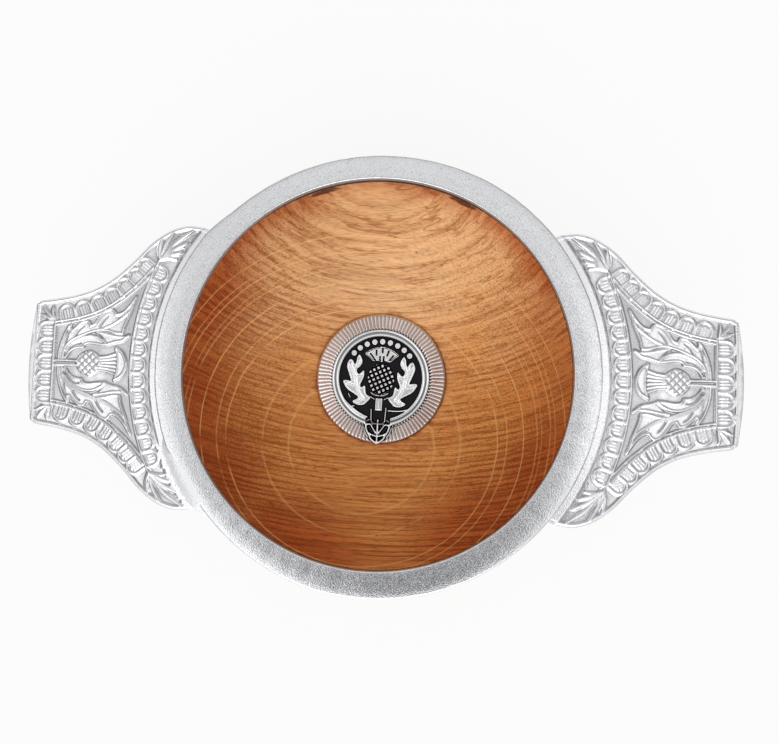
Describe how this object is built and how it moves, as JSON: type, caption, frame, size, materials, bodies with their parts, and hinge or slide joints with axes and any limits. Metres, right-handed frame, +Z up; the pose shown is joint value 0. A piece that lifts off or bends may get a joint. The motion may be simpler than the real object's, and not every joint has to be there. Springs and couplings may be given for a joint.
{
  "type": "quaich",
  "caption": "Shallow turned wooden drinking bowl with a cast pewter rim, flat side lugs in low relief, and a thistle badge on a reeded roundel in its floor.",
  "frame": {"origin": "centre of the overall box on the table, on the bowl's turning axis", "axes": "+Z up the turning axis, +X through the lugs, -Y the side that the badge's tail points to"},
  "size_m": [0.184, 0.113, 0.0411],
  "materials": {
    "oak": "turned oak under a thin satin varnish",
    "pewter": "cast pewter, satin, with a fine sandy grain",
    "bedding": "dark adhesive bedding",
    "solder": "soft solder, dull",
    "enamel": "black cold enamel, satin"
  },
  "bodies": {
    "root": {"bowl": "oak", "rim_bedding": "bedding", "rim": "pewter", "lug_left": "pewter", "lug_right": "pewter", "lug_solder": "solder", "roundel_bedding": "bedding", "roundel": "pewter", "badge": "pewter", "badge_enamel": "enamel"}
  },
  "joints": []
}
